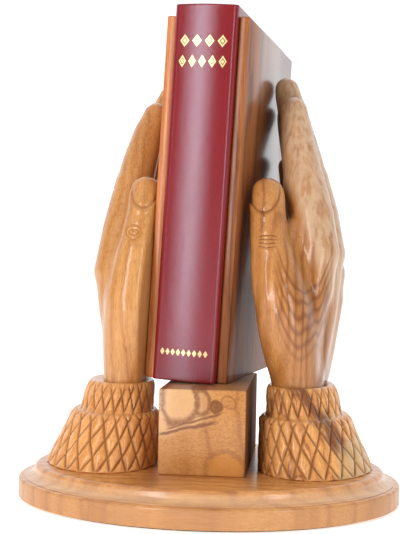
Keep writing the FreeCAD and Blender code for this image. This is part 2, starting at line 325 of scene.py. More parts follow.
def handMarks(name):
    # The nail's rim, the creases over the joint and the small eye are cuts darkened with painted
    # shade; the outer side gets a painted pale sheen, broken by grain, and nested lines of grain climb from
    # the heel.
    hand = CarvedHand(name)
    sizes = hand.sizes

    def add(g, p, colour, look):
        x, y, z = g.parts(p)
        out = (x - float(hand.origin[0])) * float(sizes["side"])
        inFront = g.smooth(y, 10.0, 6.0)
        nail = sizes["nail"]
        across = (out - nail["out"]) / nail["halfWidth"]
        up = (z - nail["height"]) / nail["halfHeight"]
        rim = (across * across + up * up) ** 0.5
        rimLine = g.smooth(abs(rim - 1.0) * nail["halfWidth"], 0.9, 0.05)
        cut = rimLine * (0.10 + g.smooth(up, 0.45, -0.15) * 0.75)
        if sizes["wrinkles"]:
            lines = sizes["wrinkles"]
            sideways = out - lines["out"]
            window = g.smooth(abs(sideways), lines["halfWidth"], lines["halfWidth"] - 3.0)
            for number, level in enumerate(lines["heights"]):
                arch = sideways * sideways * ((1.5 - number) * 0.022)
                cut = cut + g.smooth(abs(z - level + arch), 0.60, 0.05) * window * 0.9
        if sizes["eye"]:
            eye = sizes["eye"]
            sideways, height = out - eye["out"], z - eye["height"]
            ring = (sideways * sideways + height * height * 1.2) ** 0.5
            lens = (sideways * sideways + height * height * 3.2) ** 0.5
            cut = cut + g.smooth(abs(ring - eye["radii"][0]), 0.62, 0.05) * 0.8
            cut = cut + g.smooth(abs(lens - eye["radii"][1]), 0.62, 0.05)
            cut = cut + g.smooth(ring, eye["pupil"] + 0.3, 0.3)
        cut = cut.math("MINIMUM", 1.0) * inFront
        # Painted sheen: the outer side is blended towards a pale colour where the bright room reflects,
        # broken by grain.
        pale = sizes["pale"]
        broken = g.noise(g.vector("MULTIPLY", p, (1, 1, 0.12)), 0.08, 1.0, 0.4, 0, 2.0)
        outer = g.smooth(x + (z - 140) * pale["slope"] + (broken - 0.5) * 22.0, pale["from"], pale["to"])
        grain = g.smooth(g.noise(g.vector("MULTIPLY", p, (1, 1, 0.04)), 0.40, 2.0, 0.5, 0, 8.0), 0.30, 0.62)
        shade = outer * g.smooth(z, 80.0, 112.0) * (0.35 + grain * 0.65) * pale["amount"]
        colour = g.blend(shade, colour, pale["colour"] + (1,))
        if sizes["nested"]:
            nest = sizes["nested"]
            sideways = out - nest["out"]
            level = z - nest["height"] - sideways * sideways * nest["bend"] + (broken - 0.5) * 24.0
            lines = abs((level * (1 / nest["spacing"])).math("FRACT") - 0.5) * 2.0
            window = g.smooth(abs(level - nest["span"] / 2), nest["span"] / 2, nest["span"] / 2 - 7.0)
            window = window * g.smooth(abs(sideways), nest["halfWidth"], nest["halfWidth"] - 6.0)
            colour = g.blend(g.smooth(lines, 0.75, 0.05) * window * 0.62, colour, look["dark"] + (1,))
        # Painted shade: the cuts darken the colour.
        return g.blend(cut * 0.72, colour, look["dark"] + (1,)), cut, cut * 0.5

    return add


# Heights are above the floor, and each share is how far the wood goes towards its colour.
# The edge colour is a painted highlight on the upper board's moulding.
edgeLooks = {"paintedHighlightFrom": (11.4, 12.0), "paintedHighlightTo": (17.8, 15.4), "paintedHighlightShare": 0.45, "edge": (0.74, 0.50, 0.30),
             "sideBelow": (11.4, 10.6), "sideShare": 0.50, "side": (0.47, 0.25, 0.12), "sideWear": 0.3}


def baseMarks(g, p, colour, look):
    # The moulded edge of the upper board has a painted highlight, and the lower board's side is duller.
    _, _, z = g.parts(p)
    edge = g.smooth(z, *edgeLooks["paintedHighlightFrom"]) * g.smooth(z, *edgeLooks["paintedHighlightTo"])
    side = g.smooth(z, *edgeLooks["sideBelow"])
    # Painted highlight on the moulded edge.
    colour = g.blend(edge * edgeLooks["paintedHighlightShare"], colour, edgeLooks["edge"] + (1,))
    colour = g.blend(side * edgeLooks["sideShare"], colour, edgeLooks["side"] + (1,))
    return colour, 0.0, side * edgeLooks["sideWear"]


# Places and widths on the block are in millimetres, with height above the floor.
blockKnots = [
    {"x": -12.5, "z": 56.5, "wide": 9.8, "tall": 11.5, "line": 2.8, "dark": 0.72, "fill": 0.0},
    {"x": -0.3, "z": 56.5, "wide": 4.0, "tall": 6.5, "line": 1.8, "dark": 0.70, "fill": 0.1},
    {"x": 6.6, "z": 54.0, "wide": 2.4, "tall": 2.8, "line": 1.5, "dark": 1.0, "fill": 0.8},
    {"x": 13.8, "z": 56.6, "wide": 4.2, "tall": 3.6, "line": 0.7, "dark": 0.45, "fill": 0.1},
]
blockLines = [
    {"z": 44.6, "slope": 0.24, "bend": 0.000, "line": 1.5, "from": -24, "to": 9, "dark": 0.90},
    {"z": 47.4, "slope": 0.30, "bend": 0.002, "line": 1.2, "from": -20, "to": 12, "dark": 0.85},
    {"z": 49.6, "slope": 0.34, "bend": 0.006, "line": 0.6, "from": -8, "to": 16, "dark": 0.60},
]
# The top and side colours are painted shade: the book shades the block's top and the cuff its right side.
blockLooks = {"archCentre": (12.0, 22.0), "archRadius": 10.0, "archGlow": 0.6, "arch": (0.62, 0.26, 0.055),
              "archLine": 0.28, "paleAbove": (42.0, 48.0), "paleUntil": (8.0, -4.0), "paleShare": 0.65,
              "pale": (0.70, 0.43, 0.21), "shadedTopAbove": (62.1, 62.7), "shadedTopShare": 0.55,
              "top": (0.36, 0.170, 0.062), "shadedSideFrom": (21.6, 22.4), "sideShare": 0.85,
              "side": (0.085, 0.024, 0.007), "line": (0.20, 0.062, 0.018)}


def blockMarks(g, p, colour, look):
    # Knot outlines on the front of the block and dark lines that climb across it, with a pale
    # area above them; painted shade darkens the top and the right side.
    x, _, z = g.parts(p)
    wander = g.noise(p, 0.10, 2.0, 0.45, 0, 4.0) - 0.5
    fine = g.noise(p, 0.8, 2.0, 0.5, 0, 6.0)
    dark = None
    for knot in blockKnots:
        sideways = (x - knot["x"] + wander * 8.0 + (fine - 0.5) * 1.2) / knot["wide"]
        height = (z - knot["z"] + wander * 7.0) / knot["tall"]
        ring = (sideways * sideways + height * height) ** 0.5
        line = g.smooth(abs(ring - 1.0) * knot["wide"], knot["line"], 0.1) * knot["dark"]
        line = line.math("MAXIMUM", g.smooth(ring, 1.0, 0.6) * knot["fill"])
        dark = line if dark is None else dark.math("MAXIMUM", line)
    for line in blockLines:
        level = z - line["z"] - x * line["slope"] - x * x * line["bend"] + wander * 5.0
        window = g.smooth(x, line["from"], line["from"] + 4) * g.smooth(x, line["to"], line["to"] - 5)
        dark = dark.math("MAXIMUM", g.smooth(abs(level), line["line"], 0.1) * line["dark"] * window)
    looks = blockLooks
    across, up = x - looks["archCentre"][0], z - looks["archCentre"][1]
    arch = (across * across + up * up * 1.2) ** 0.5
    glow = g.smooth(arch + wander * 5.0, looks["archRadius"], looks["archRadius"] - 4.0)
    pale = g.smooth(z - x * 0.35 + wander * 8.0, *looks["paleAbove"]) * g.smooth(x, *looks["paleUntil"])
    colour = g.blend(pale * looks["paleShare"], colour, looks["pale"] + (1,))
    colour = g.blend(glow * looks["archGlow"], colour, looks["arch"] + (1,))
    outline = g.smooth(abs(arch + wander * 5.0 - looks["archRadius"]), 2.4, 0.1)
    dark = dark.math("MAXIMUM", outline * looks["archLine"])
    dark = dark * (0.65 + fine * 0.9)
    # Painted shade on the top, under the book.
    colour = g.blend(g.smooth(z, *looks["shadedTopAbove"]) * looks["shadedTopShare"], colour, looks["top"] + (1,))
    # Painted shade on the right side, in the narrow gap beside the cuff; the same mask dulls the coat there.
    side = g.smooth(x, *looks["shadedSideFrom"])
    colour = g.blend(side * looks["sideShare"], colour, looks["side"] + (1,))
    return g.blend(dark.math("MINIMUM", 0.9), colour, looks["line"] + (1,)), dark * 0.1, side


def boardMarks(g, p, colour, look):
    # The lacquer is thinner near the front edge and low down; painted shade darkens the wood towards the
    # back.
    _, y, z = g.parts(p)
    front = g.smooth(y, 34.0, -4.0).math("MAXIMUM", g.smooth(z, 165.0, 115.0) * 1.35)
    # Painted shade, darker towards the back.
    colour = g.blend(g.smooth(y, -4.0, 50.0) * 0.45, colour, look["dark"] + (1,))
    return colour, 0.0, front * 0.55


# The groove colour is painted shade in the carved grooves.
cuffLooks = {"streak": (0.15, 0.042, 0.012), "streakShare": 0.85, "patch": (0.62, 0.40, 0.175),
             "patchShare": 0.75, "groove": (0.17, 0.050, 0.012), "grooveShadeShare": 0.80, "grooveWear": 0.8}


def cuffMarks(streak):
    # Grooves are darkened with painted shade and get less coat, and one cuff has a dark streak and a pale
    # patch.
    def add(g, p, colour, look):
        x, y, z = g.parts(p)
        if streak:
            wander = (g.noise(g.vector("MULTIPLY", p, (1, 1, 0.4)), 0.09, 3.0, 0.55, 0, 3.0) - 0.5) * 22.0
            line = g.smooth(abs(x + z * 0.85 - 100.0 + wander), 7.5, 1.5)
            line = line * g.smooth(z, 22.0, 34.0) * g.smooth(y, 20.0, 0.0)
            colour = g.blend(line * cuffLooks["streakShare"], colour, cuffLooks["streak"] + (1,))
            patch = g.smooth(x + wander - z * 0.2, 62.0, 68.0) * g.smooth(z + wander * 0.3, 40.0, 32.0)
            colour = g.blend(patch * cuffLooks["patchShare"], colour, cuffLooks["patch"] + (1,))
        groove = g.node("ShaderNodeAttribute", {"attribute_name": "groove"}, None, 2)
        # Painted shade in the grooves.
        colour = g.blend(groove * cuffLooks["grooveShadeShare"], colour, cuffLooks["groove"] + (1,))
        return colour, 0.0, groove * cuffLooks["grooveWear"]

    return add


# A hand is a distance field, meshed as a net of quads that is then drawn onto its surface.
# Joints are outward from the book, backward, upward along the hand, and the radius there.
handSizes = {
    "lean": 20.0,
    "wristHeight": 68.0,
    "slotClearance": 0.4,
    "footDepth": 1.4,
    "step": 0.74,
    "gridLow": (-34, -62, -34),
    "gridHigh": (34, 52, 190),
    "right": {
        "side": 1,
        "palm": [(0, 0, -32, 14, 22), (0, 0, -12, 14, 23), (1.5, 0, 12, 14.5, 27), (5, 0, 40, 15, 32),
                 (8.5, 0, 66, 12, 33),
                 (8, 0, 84, 9, 30)],
        "index": [(0, -14, 4, 11.0), (8.2, -25, 62, 12.2), (1, -24.5, 103, 11.5), (-3.6, -23.5, 131, 9.6),
                  (-6.2, -22, 151, 8.2)],
        "middle": [(2, -4, 4, 13), (11.5, -8, 68, 12.6), (3, -8, 112, 11.5), (-4.5, -8, 146, 9.4),
                   (-11, -7, 173, 7.6)],
        "ring": [(3.5, 5, 4, 14), (7.5, 8, 32, 14.6), (11, 9, 62, 13.6), (2, 9, 108, 11), (-5, 8, 139, 9),
                 (-10, 8, 163, 7.4)],
        "little": [(2.5, 13, 4, 13.5), (8.5, 25, 58, 12.5), (-0.5, 24, 93, 9.6), (-5.5, 23, 117, 8),
                   (-9, 22, 136, 6.8)],
        "heel": [(-1, -13, -8, 13), (-5.5, -23, 9, 14.5), (-9, -31, 25, 14.5), (-12.5, -36, 42, 12.5),
                 (-14.5, -37, 54, 11.0)],
        "thumb": [(-11, -34, 32, 12.5), (-14.6, -37.5, 46, 11.6), (-16.6, -39, 60, 10.9),
                  (-18.3, -39, 76, 10.0),
                  (-19.0, -39, 86, 9.6), (-19.4, -38.6, 91, 9.2)],
        "web": [(-7, -32, 30, 10), (-8, -33, 50, 8.5), (-7.6, -32, 64, 6.5), (-6.8, -30, 74, 4.5)],
        "nail": {"out": -20.5, "height": 167.6, "halfWidth": 8.3, "halfHeight": 11.6, "plane": 6.2},
        "wrinkles": {"out": -17.8, "heights": (143.4, 141.2, 139.0, 136.8), "halfWidth": 6.4},
        "eye": None,
        "ridges": {"out": (-25.0, -18.5), "from": 100, "to": 134},
        "hollow": {"out": (11.5, 15.5), "from": 66, "to": 116},
        "nested": {"out": 2.0, "height": 72.0, "bend": 0.125, "spacing": 7.0, "span": 46.0,
                   "halfWidth": 17.0},
        # pale: a painted sheen on the outer side.
        "pale": {"slope": 0.45, "from": 46.0, "to": 60.0, "amount": 0.85, "colour": (0.57, 0.385, 0.235)},
    },
    "left": {
        "side": -1,
        "palm": [(0, 0, -32, 10.5, 22), (0, 0, -12, 10.5, 23), (0.5, 0, 12, 11, 27), (3, 0, 32, 12, 31),
                 (5, 0, 52, 11, 33),
                 (4.5, 0, 72, 8, 30)],
        "index": [(-0.5, -14, 4, 9), (5.8, -25, 49, 11.6), (-0.4, -24.5, 100, 10.6), (-5.0, -23, 129, 9.2),
                  (-10, -22, 147, 8)],
        "middle": [(0, -4, 4, 9.5), (8.5, -8, 55, 11.8), (1.0, -8, 106, 11.0), (-6.5, -8, 140, 9.3),
                   (-15.5, -7, 167, 7.4)],
        "ring": [(0, 5, 4, 9.5), (8, 9, 54, 11.6), (0.5, 9, 102, 10.8), (-7, 8, 133, 8.8),
                 (-14.5, 8, 157, 7.2)],
        "little": [(-0.5, 13, 4, 9), (6, 25, 48, 11), (-2, 24, 88, 9.4), (-8, 23, 112, 7.8),
                   (-13, 22, 130, 6.6)],
        "heel": [(-3, -13, -8, 12), (-4, -22, 9, 13.5), (-5.5, -30, 25, 13.5), (-6.5, -35, 42, 12.3),
                 (-7.4, -37, 54, 10.9)],
        "thumb": [(-3.5, -33, 32, 11.6), (-6.0, -36.5, 46, 11.0), (-7.6, -38.6, 60, 10.2),
                  (-9.0, -39, 76, 9.2),
                  (-9.6, -39, 86, 8.7), (-9.8, -38.6, 92, 8.3)],
        "web": [(-3, -31, 28, 9.5), (-4, -32, 50, 8.8), (-5, -31, 66, 7), (-5, -29, 82, 5)],
        "nail": {"out": -10.2, "height": 167.4, "halfWidth": 7.4, "halfHeight": 9.8, "plane": 5.4},
        "wrinkles": None,
        "eye": {"out": -6.3, "height": 144.0, "radii": (4.3, 2.7), "pupil": 0.9},
        "ridges": None,
        "hollow": None,
        "nested": None,
        # pale: a painted sheen on the outer side.
        "pale": {"slope": 0.30, "from": -62.0, "to": -70.0, "amount": 0.30, "colour": (0.66, 0.42, 0.25)},
    },
}
fingerNames = ("index", "middle", "ring", "little")


def smoothUnion(first, second, width):
    share = np.clip(0.5 + 0.5 * (second - first) / width, 0, 1)
    return second + (first - second) * share - width * share * (1 - share)


def eased(value, low, high):
    share = np.clip((value - low) / (high - low), 0, 1)
    return share * share * (3 - 2 * share)


def bell(value, width):
    return np.exp(-(value / width) ** 2)


def curved(joints, steps=3):
    # More joints along a smooth curve through the given ones.
    joints = np.array(joints, np.float32)
    ends = np.vstack([2 * joints[0] - joints[1], joints, 2 * joints[-1] - joints[-2]])
    line = []
    for a, b, c, d in zip(ends, ends[1:], ends[2:], ends[3:]):
        for t in np.arange(steps) / steps:
            line.append(b + 0.5 * t * (c - a + t * (2 * a - 5 * b + 4 * c - d + t * (3 * (b - c) + d - a))))
    return line + [joints[-1]]


def limb(points, joints, steps=3):
    # Distance to a tapering limb along a smooth curve.
    line = curved(joints, steps)
    nearest = None
    for start, end in zip(line, line[1:]):
        along = end[:3] - start[:3]
        offset = points - start[:3]
        share = np.clip(offset @ along / (along @ along), 0, 1)
        gap = offset - share[..., None] * along
        distance = np.sqrt(np.einsum("...i,...i", gap, gap)) - (start[3] + (end[3] - start[3]) * share)
        nearest = distance if nearest is None else np.minimum(nearest, distance)
    return nearest


def ovalLoft(points, sections):
    # A flat palm through oval sections, with a soft upper end.
    sections = np.array(sections, np.float32)
    up = points[..., 2]
    out, back, thick, wide = (np.interp(up, sections[:, 2], sections[:, column]) for column in (0, 1, 3, 4))
    ratio = np.sqrt(((points[..., 0] - out) / thick) ** 2 + ((points[..., 1] - back) / wide) ** 2)
    return -smoothUnion(-(ratio - 1) * thick, sections[-1, 2] - up, 6.0)


class CarvedHand:
    # One hand in its own directions: outward from the book, backward and up along the lean.
    def __init__(self, name):
        self.name = name
        self.sizes = handSizes[name]
        side = self.sizes["side"]
        lean = math.radians(handSizes["lean"])
        points = nodePoints(name + "_hand") / mm
        peg = points[points[:, 2] < points[:, 2].min() + 5]
        middle = (peg.min(0) + peg.max(0)) / 2
        self.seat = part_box(name + "_cuff")[1].z / mm
        self.origin = np.array([middle[0], middle[1], handSizes["wristHeight"]], np.float32)
        self.rows = np.array([[side, 0, 0], [0, math.cos(lean), -math.sin(lean)],
                              [0, math.sin(lean), math.cos(lean)]],
                             np.float32)
        board = bookBox("front_wooden_board")[1] if side > 0 else bookBox("back_wooden_board")[0]
        self.slotNormal = (bookRows[:, 0] * side).astype(np.float32)
        self.slotEdge = side * board[0] / mm + handSizes["slotClearance"]

    def toWorld(self, points):
        return self.origin + points @ self.rows

    def marks(self, points, world):
        # How deep the knife goes: nails, wrinkles, the eye, the hollow beside the thumb's heel.
        sizes = self.sizes
        out = (world[..., 0] - self.origin[0]) * sizes["side"]
        height = world[..., 2]
        inFront = eased(points[..., 1], -33, -37)
        nail = sizes["nail"]
        across = (out - nail["out"]) / nail["halfWidth"]
        along = (height - nail["height"]) / nail["halfHeight"]
        rim = np.sqrt(across ** 2 + along ** 2)
        scale = nail["halfWidth"]
        lower = eased(along, 0.4, -0.3)
        depth = inFront * (0.35 * eased(rim, 1.02, 0.92) + (0.10 + 0.75 * lower) * bell((rim - 1.0) * scale,
                                                                                        0.8)
                           - 0.55 * bell((rim - 1.22) * scale, 1.3) * lower)
        if sizes["wrinkles"]:
            lines = sizes["wrinkles"]
            sideways = out - lines["out"]
            window = eased(abs(sideways), lines["halfWidth"], lines["halfWidth"] - 3)
            for number, level in enumerate(lines["heights"]):
                arch = (1.5 - number) * 0.022 * sideways ** 2
                depth += inFront * window * 0.45 * bell(height - level + arch, 0.6)
        if sizes["eye"]:
            eye = sizes["eye"]
            sideways, up = out - eye["out"], height - eye["height"]
            ring = np.sqrt(sideways ** 2 + (up * 1.1) ** 2)
            lens = np.sqrt(sideways ** 2 + (up * 1.8) ** 2)
            depth += inFront * (0.4 * bell(ring - eye["radii"][0], 0.6)
                                + 0.4 * bell(lens - eye["radii"][1], 0.6))
        if sizes["ridges"]:
            ridges = sizes["ridges"]
            window = eased(height, ridges["from"], ridges["from"] + 14)
            window = window * eased(height, ridges["to"], ridges["to"] - 10)
            for place in ridges["out"]:
                depth -= inFront * window * 0.7 * bell(out - place + (height - 120) * 0.02, 2.0)
        if sizes["hollow"]:
            hollow = sizes["hollow"]
            share = np.clip((height - hollow["from"]) / (hollow["to"] - hollow["from"]), 0, 1)
            line = hollow["out"][0] + (hollow["out"][1] - hollow["out"][0]) * share
            window = eased(height, hollow["from"] - 8, hollow["from"] + 8)
            window = window * eased(height, hollow["to"], hollow["to"] - 12)
            depth += window * eased(points[..., 1], -8, -20) * 1.5 * bell(out - line, 2.6)
        for finger in fingerNames:
            depth += self.fingerMarks(points, sizes[finger])
        return depth

    def fingerMarks(self, points, joints):
        # A nail on the outer face of the tip and short creases over the two knuckles.
        knuckle, last, tip = (np.array(joint[:3], np.float32) for joint in joints[-3:])
        line = (tip - last) / np.linalg.norm(tip - last)
        offset = points - tip
        along = offset @ line
        outer = eased(offset[..., 0], 1.0, 4.0)
        radius = joints[-1][3]
        rim = np.sqrt((offset[..., 1] / (radius * 0.72)) ** 2 + ((along + 1.5) / (radius * 1.15)) ** 2)
        nail = outer * (0.3 * eased(rim, 1.03, 0.93) + 0.5 * bell((rim - 1.0) * radius, 0.7))
        depth = nail * eased(abs(along), 16, 12)
        for joint, size in ((knuckle, joints[-3][3]), (last, joints[-2][3])):
            offset = points - joint
            window = eased(offset[..., 0], size * 0.2, size * 0.6)
            window = window * eased(abs(offset[..., 1]), size * 0.75, size * 0.4)
            for shift in (-2.8, 0.0, 2.6):
                bow = 0.03 * offset[..., 1] ** 2 * np.sign(shift)
                depth += window * 0.32 * bell(offset[..., 2] - shift - bow, 0.7)
        return depth

    def distance(self, points):
        sizes = self.sizes
        body = ovalLoft(points, sizes["palm"]) + 0.6
        for finger in fingerNames:
            knuckles = limb(points, sizes[finger][:-2], 2)
            body = smoothUnion(body, knuckles, 3.0)
        fingers = None
        for finger in fingerNames:
            one = limb(points, sizes[finger][-4:])
            fingers = one if fingers is None else smoothUnion(fingers, one, 1.0)
        body = smoothUnion(body, fingers, 2.5)
        body = smoothUnion(body, limb(points, sizes["heel"]), 6.0)
        body = smoothUnion(body, limb(points, sizes["web"]), 5.0)
        body = smoothUnion(body, limb(points, sizes["thumb"]), 2.2)
        world = self.toWorld(points)
        body = body + self.marks(points, world)
        slot = self.slotEdge - world @ self.slotNormal
        body = -smoothUnion(-body, -slot, 1.6)
        foot = (self.seat - handSizes["footDepth"]) - world[..., 2]
        return np.maximum(body, foot)

    def settle(self, points):
        # Draws the net's corners onto the true surface, along its slope.
        reach = 0.05
        slope = np.empty_like(points)
        for axis in range(3):
            shift = np.zeros(3, np.float32)
            shift[axis] = reach
            slope[:, axis] = (self.distance(points + shift) - self.distance(points - shift)) / (2 * reach)
        steepness = np.maximum((slope ** 2).sum(1), 0.2)
        move = slope * (self.distance(points) / steepness)[:, None]
        return points - np.clip(move, -0.5, 0.5)

    def grid(self, low, high, step):
        # Coarse distances first, then fine ones only in the blocks near the surface.
        counts = [int((high[i] - low[i]) / (3 * step)) for i in range(3)]
        middles = [low[i] + step * (3 * np.arange(counts[i], dtype=np.float32) + 1) for i in range(3)]
        coarse = self.distance(np.stack(np.meshgrid(*middles, indexing="ij"), -1))
        fine = coarse
        near = np.abs(coarse) < 4.5 * step
        for axis in range(3):
            fine = np.repeat(fine, 3, axis)
            near = np.repeat(near, 3, axis)
        where = np.argwhere(near)
        fine[near] = self.distance((low + step * where).astype(np.float32))
        return fine


def netOf(distance, low, step):
    # Surface net: one corner in each cell that the surface crosses, one quad over each crossed edge.
    cells = tuple(n - 1 for n in distance.shape)
    total = np.zeros((int(np.prod(cells)), 3))
    count = np.zeros(int(np.prod(cells)))
    quads = []
    for axis in range(3):
        lower = np.take(distance, range(distance.shape[axis] - 1), axis)
        upper = np.take(distance, range(1, distance.shape[axis]), axis)
        crossed = np.argwhere((lower < 0) != (upper < 0))
        first = lower[tuple(crossed.T)]
        second = upper[tuple(crossed.T)]
        point = crossed.astype(float)
        point[:, axis] += first / (first - second)
        sideA, sideB = (axis + 1) % 3, (axis + 2) % 3
        around = []
        for backA, backB in ((1, 1), (0, 1), (0, 0), (1, 0)):
            cell = crossed.copy()
            cell[:, sideA] -= backA
            cell[:, sideB] -= backB
            flat = np.ravel_multi_index(tuple(cell.T), cells)
            around.append(flat)
            count += np.bincount(flat, minlength=count.size)
            for part in range(3):
                total[:, part] += np.bincount(flat, point[:, part], count.size)
        quad = np.stack(around, 1)
        quad[first > 0] = quad[first > 0][:, ::-1]
        quads.append(quad)
    used = np.flatnonzero(count)
    number = np.full(count.size, -1)
    number[used] = np.arange(used.size)
    corners = low + step * total[used] / count[used][:, None]
    return corners.astype(np.float32), number[np.concatenate(quads)]


def relax(points, quads, amount):
    total = np.zeros_like(points)
    count = np.zeros(len(points))
    for first, second in ((0, 1), (1, 2), (2, 3), (3, 0)):
        for here, there in ((quads[:, first], quads[:, second]), (quads[:, second], quads[:, first])):
            count += np.bincount(here, minlength=len(points))
            for part in range(3):
                total[:, part] += np.bincount(here, points[there, part], len(points))
    return points + amount * (total / count[:, None] - points)


def carveHand(name, material):
    hand = CarvedHand(name)
    step = handSizes["step"] * 1.0
    low, high = (np.array(handSizes[key], np.float32) for key in ("gridLow", "gridHigh"))
    points, quads = netOf(hand.grid(low, high, step), low, step)
    for _ in range(2):
        points = hand.settle(relax(points, quads, 0.5).astype(np.float32))
    if hand.sizes["side"] < 0:
        quads = quads[:, ::-1]
    piece = newObject(name + "Hand", hand.toWorld(points) * mm, quads.tolist(), material)
    print("carved", name, "hand:", len(quads) * 2, "triangles")
    return piece


# A cuff is oval rings up a two-tier profile, with crossing grooves cut by Geometry Nodes.
cuffSizes = {
    "turn": 11.0,
    "around": 22,
    "diamondHeight": 17.0,
    "grooveDepth": 1.0,
    "grooveWidth": 0.62,
    "pillow": 0.55,
    "domeWidth": 3.2,
    "lineSpacing": 8.1,
    "wander": 0.42,
    "columns": 480,
    "rowStep": 0.42,
    # height above the base, outward and backward from the wrist, half across, half along, carving
    "profile": [
        (0.0, 10.2, -13.0, 29.8, 42.4, 0.0), (0.5, 10.1, -13.0, 30.5, 43.1, 0.5),
        (2.0, 9.8, -12.8, 30.4, 42.9, 1.0),
        (12.0, 7.4, -11.0, 28.0, 40.2, 1.0), (20.0, 5.5, -9.8, 26.0, 38.0, 1.0),
        (26.5, 4.1, -9.0, 24.6, 36.6, 1.0),
        (28.0, 4.1, -8.8, 23.1, 35.7, 0.6), (28.7, 3.9, -8.6, 21.9, 34.4, 0.2),
        (28.3, 3.7, -8.2, 20.8, 32.6, 0.0),
        (29.0, 3.6, -8.0, 20.3, 32.0, 0.4), (31.0, 3.3, -7.4, 20.1, 31.6, 1.0),
        (37.0, 2.6, -6.0, 19.6, 31.0, 1.0),
        (41.5, 1.9, -4.7, 18.8, 30.2, 0.8), (43.4, 1.6, -4.2, 17.9, 29.4, 0.3),
        (44.2, 1.5, -4.0, 16.9, 28.4, 0.0),
        (44.0, 1.2, -3.4, 15.4, 26.8, 0.0), (42.8, 0.8, -2.5, 12.0, 22.0, 0.0)],
}


def refined(stations, rowStep):
    # The profile's stations with rows added between them, about one row step apart.
    stations = np.array(stations)
    rows = []
    for start, end in zip(stations[:-1], stations[1:]):
        length = math.hypot(end[0] - start[0], end[3] - start[3])
        count = max(1, round(length / rowStep))
        rows += [start + (end - start) * k / count for k in range(count)]
    return np.array(rows + [stations[-1]])


def cuffShell(name, material):
    hand = CarvedHand(name)
    side = hand.sizes["side"]
    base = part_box("base_upper_board")[1].z / mm
    rows = refined(cuffSizes["profile"], cuffSizes["rowStep"] * (1))
    columns = cuffSizes["columns"] // 1
    share = np.arange(columns) / columns
    angle = 2 * math.pi * share
    turn = math.radians(cuffSizes["turn"]) * side
    points, rise, carve = [], [], []
    length = 0.0
    for number, (height, out, back, across, along, weight) in enumerate(rows):
        if number:
            last = rows[number - 1]
            length += math.hypot(height - last[0], across - last[3])
        x = across * np.cos(angle)
        y = along * np.sin(angle)
        centre = (hand.origin[0] + side * out, hand.origin[1] + back)
        points.append(np.stack([centre[0] + x * math.cos(turn) + y * math.sin(turn),
                                centre[1] - x * math.sin(turn) + y * math.cos(turn),
                                np.full(columns, base + height)], 1))
        rise += [length] * columns
        carve += [weight] * columns
    faces = []
    for row in range(len(rows) - 1):
        for column in range(columns):
            after = (column + 1) % columns
            a, b = row * columns + column, row * columns + after
            faces.append((a, b, b + columns, a + columns))
    top = (len(rows) - 1) * columns
    faces.append(tuple(range(columns - 1, -1, -1)))
    faces.append(tuple(range(top, top + columns)))
    piece = newObject(name + "Cuff", np.concatenate(points) * mm, faces, material)
    for label, values in (("turn", np.tile(share, len(rows))), ("rise", rise), ("carve", carve)):
        layer = piece.data.attributes.new(label, "FLOAT", "POINT")
        layer.data.foreach_set("value", np.array(values, np.float32))
    return piece


def newTree(name, inputs):
    # A geometry tree with a named input for each label, socket type and default.
    tree = bpy.data.node_groups.new(name, "GeometryNodeTree")
    for direction in ("INPUT", "OUTPUT"):
        tree.interface.new_socket("Geometry", in_out=direction, socket_type="NodeSocketGeometry")
    for label, kind, value in inputs:
        made = tree.interface.new_socket(label, in_out="INPUT", socket_type="NodeSocket" + kind)
        if value is not None:
            made.default_value = value
    g = Graph(tree)
    start = g.node("NodeGroupInput").siblings()
    given = {signal.socket.name: signal for signal in start if signal.socket.name}
    return tree, g, given


def finishTree(g, geometry, material):
    real = g.node("GeometryNodeRealizeInstances", None, {0: geometry})
    done = g.node("GeometryNodeSetMaterial", None, {"Geometry": real, "Material": material})
    g.node("NodeGroupOutput", None, {"Geometry": done})


latticeInputs = {"Diamonds around": cuffSizes["around"], "Diamond height": cuffSizes["diamondHeight"],
                 "Groove depth": cuffSizes["grooveDepth"], "Groove width": cuffSizes["grooveWidth"],
                 "Pillow": cuffSizes["pillow"], "Seed": 0.0}


def latticeTree():
    # Two families of crossing grooves, with pillowed diamonds between them, cut along the normal.
    floats = [(label, "Float", value) for label, value in latticeInputs.items()]
    tree, g, given = newTree("carvedLattice", floats + [("Material", "Material", None)])

    def attribute(label):
        return g.node("GeometryNodeInputNamedAttribute", {"data_type": "FLOAT"}, {"Name": label})

    turn, rise, carve = attribute("turn"), attribute("rise"), attribute("carve")
    position = g.node("GeometryNodeInputPosition")
    wobble = g.noise(position, 55.0, 1.0, 0.5, 0, given["Seed"])
    around = turn * given["Diamonds around"] + (wobble - 0.5) * cuffSizes["wander"]
    upward = rise / given["Diamond height"]
    grooves, gaps = [], []
    for line in (around + upward, around - upward):
        gap = abs((line + 0.5).math("FRACT") - 0.5) * cuffSizes["lineSpacing"]
        gaps.append(gap)
        grooves.append((-((gap / given["Groove width"]) ** 2.0)).math("EXPONENT"))
    groove = grooves[0].math("MAXIMUM", grooves[1])
    nearest = gaps[0].math("MINIMUM", gaps[1])
    dome = g.smooth(nearest, 0.0, cuffSizes["domeWidth"])
    depth = given["Groove depth"] * (0.75 + wobble * 0.5)
    cut = (dome - 1.0) * given["Pillow"] - groove * depth
    amount = cut * carve * mm
    normal = g.node("GeometryNodeInputNormal")
    offset = g.scaled(normal, amount)
    moved = g.node("GeometryNodeSetPosition", None, {"Geometry": given["Geometry"], "Offset": offset})
    marked = g.node("GeometryNodeStoreNamedAttribute", {"data_type": "FLOAT", "domain": "POINT"},
                    {"Geometry": moved, "Name": "groove", "Value": groove * carve})
    finishTree(g, marked, given["Material"])
    return tree


def addTree(piece, tree, values):
    # Puts a geometry tree on a piece and sets its named inputs by their identifiers.
    modifier = piece.modifiers.new(tree.name, "NODES")
    modifier.node_group = tree
    for item in tree.interface.items_tree:
        if item.in_out == "INPUT" and item.name in values:
            modifier[item.identifier] = values[item.name]
    return bake(piece)


boardSizes = {"columns": 256, "lowerRound": 1.6, "upperRound": 2.9, "foot": 0.6,
              "spread": 5.5, "mouldingHeight": 3.6, "lip": 0.4, "upperInset": 3.0, "blockRound": 0.9}


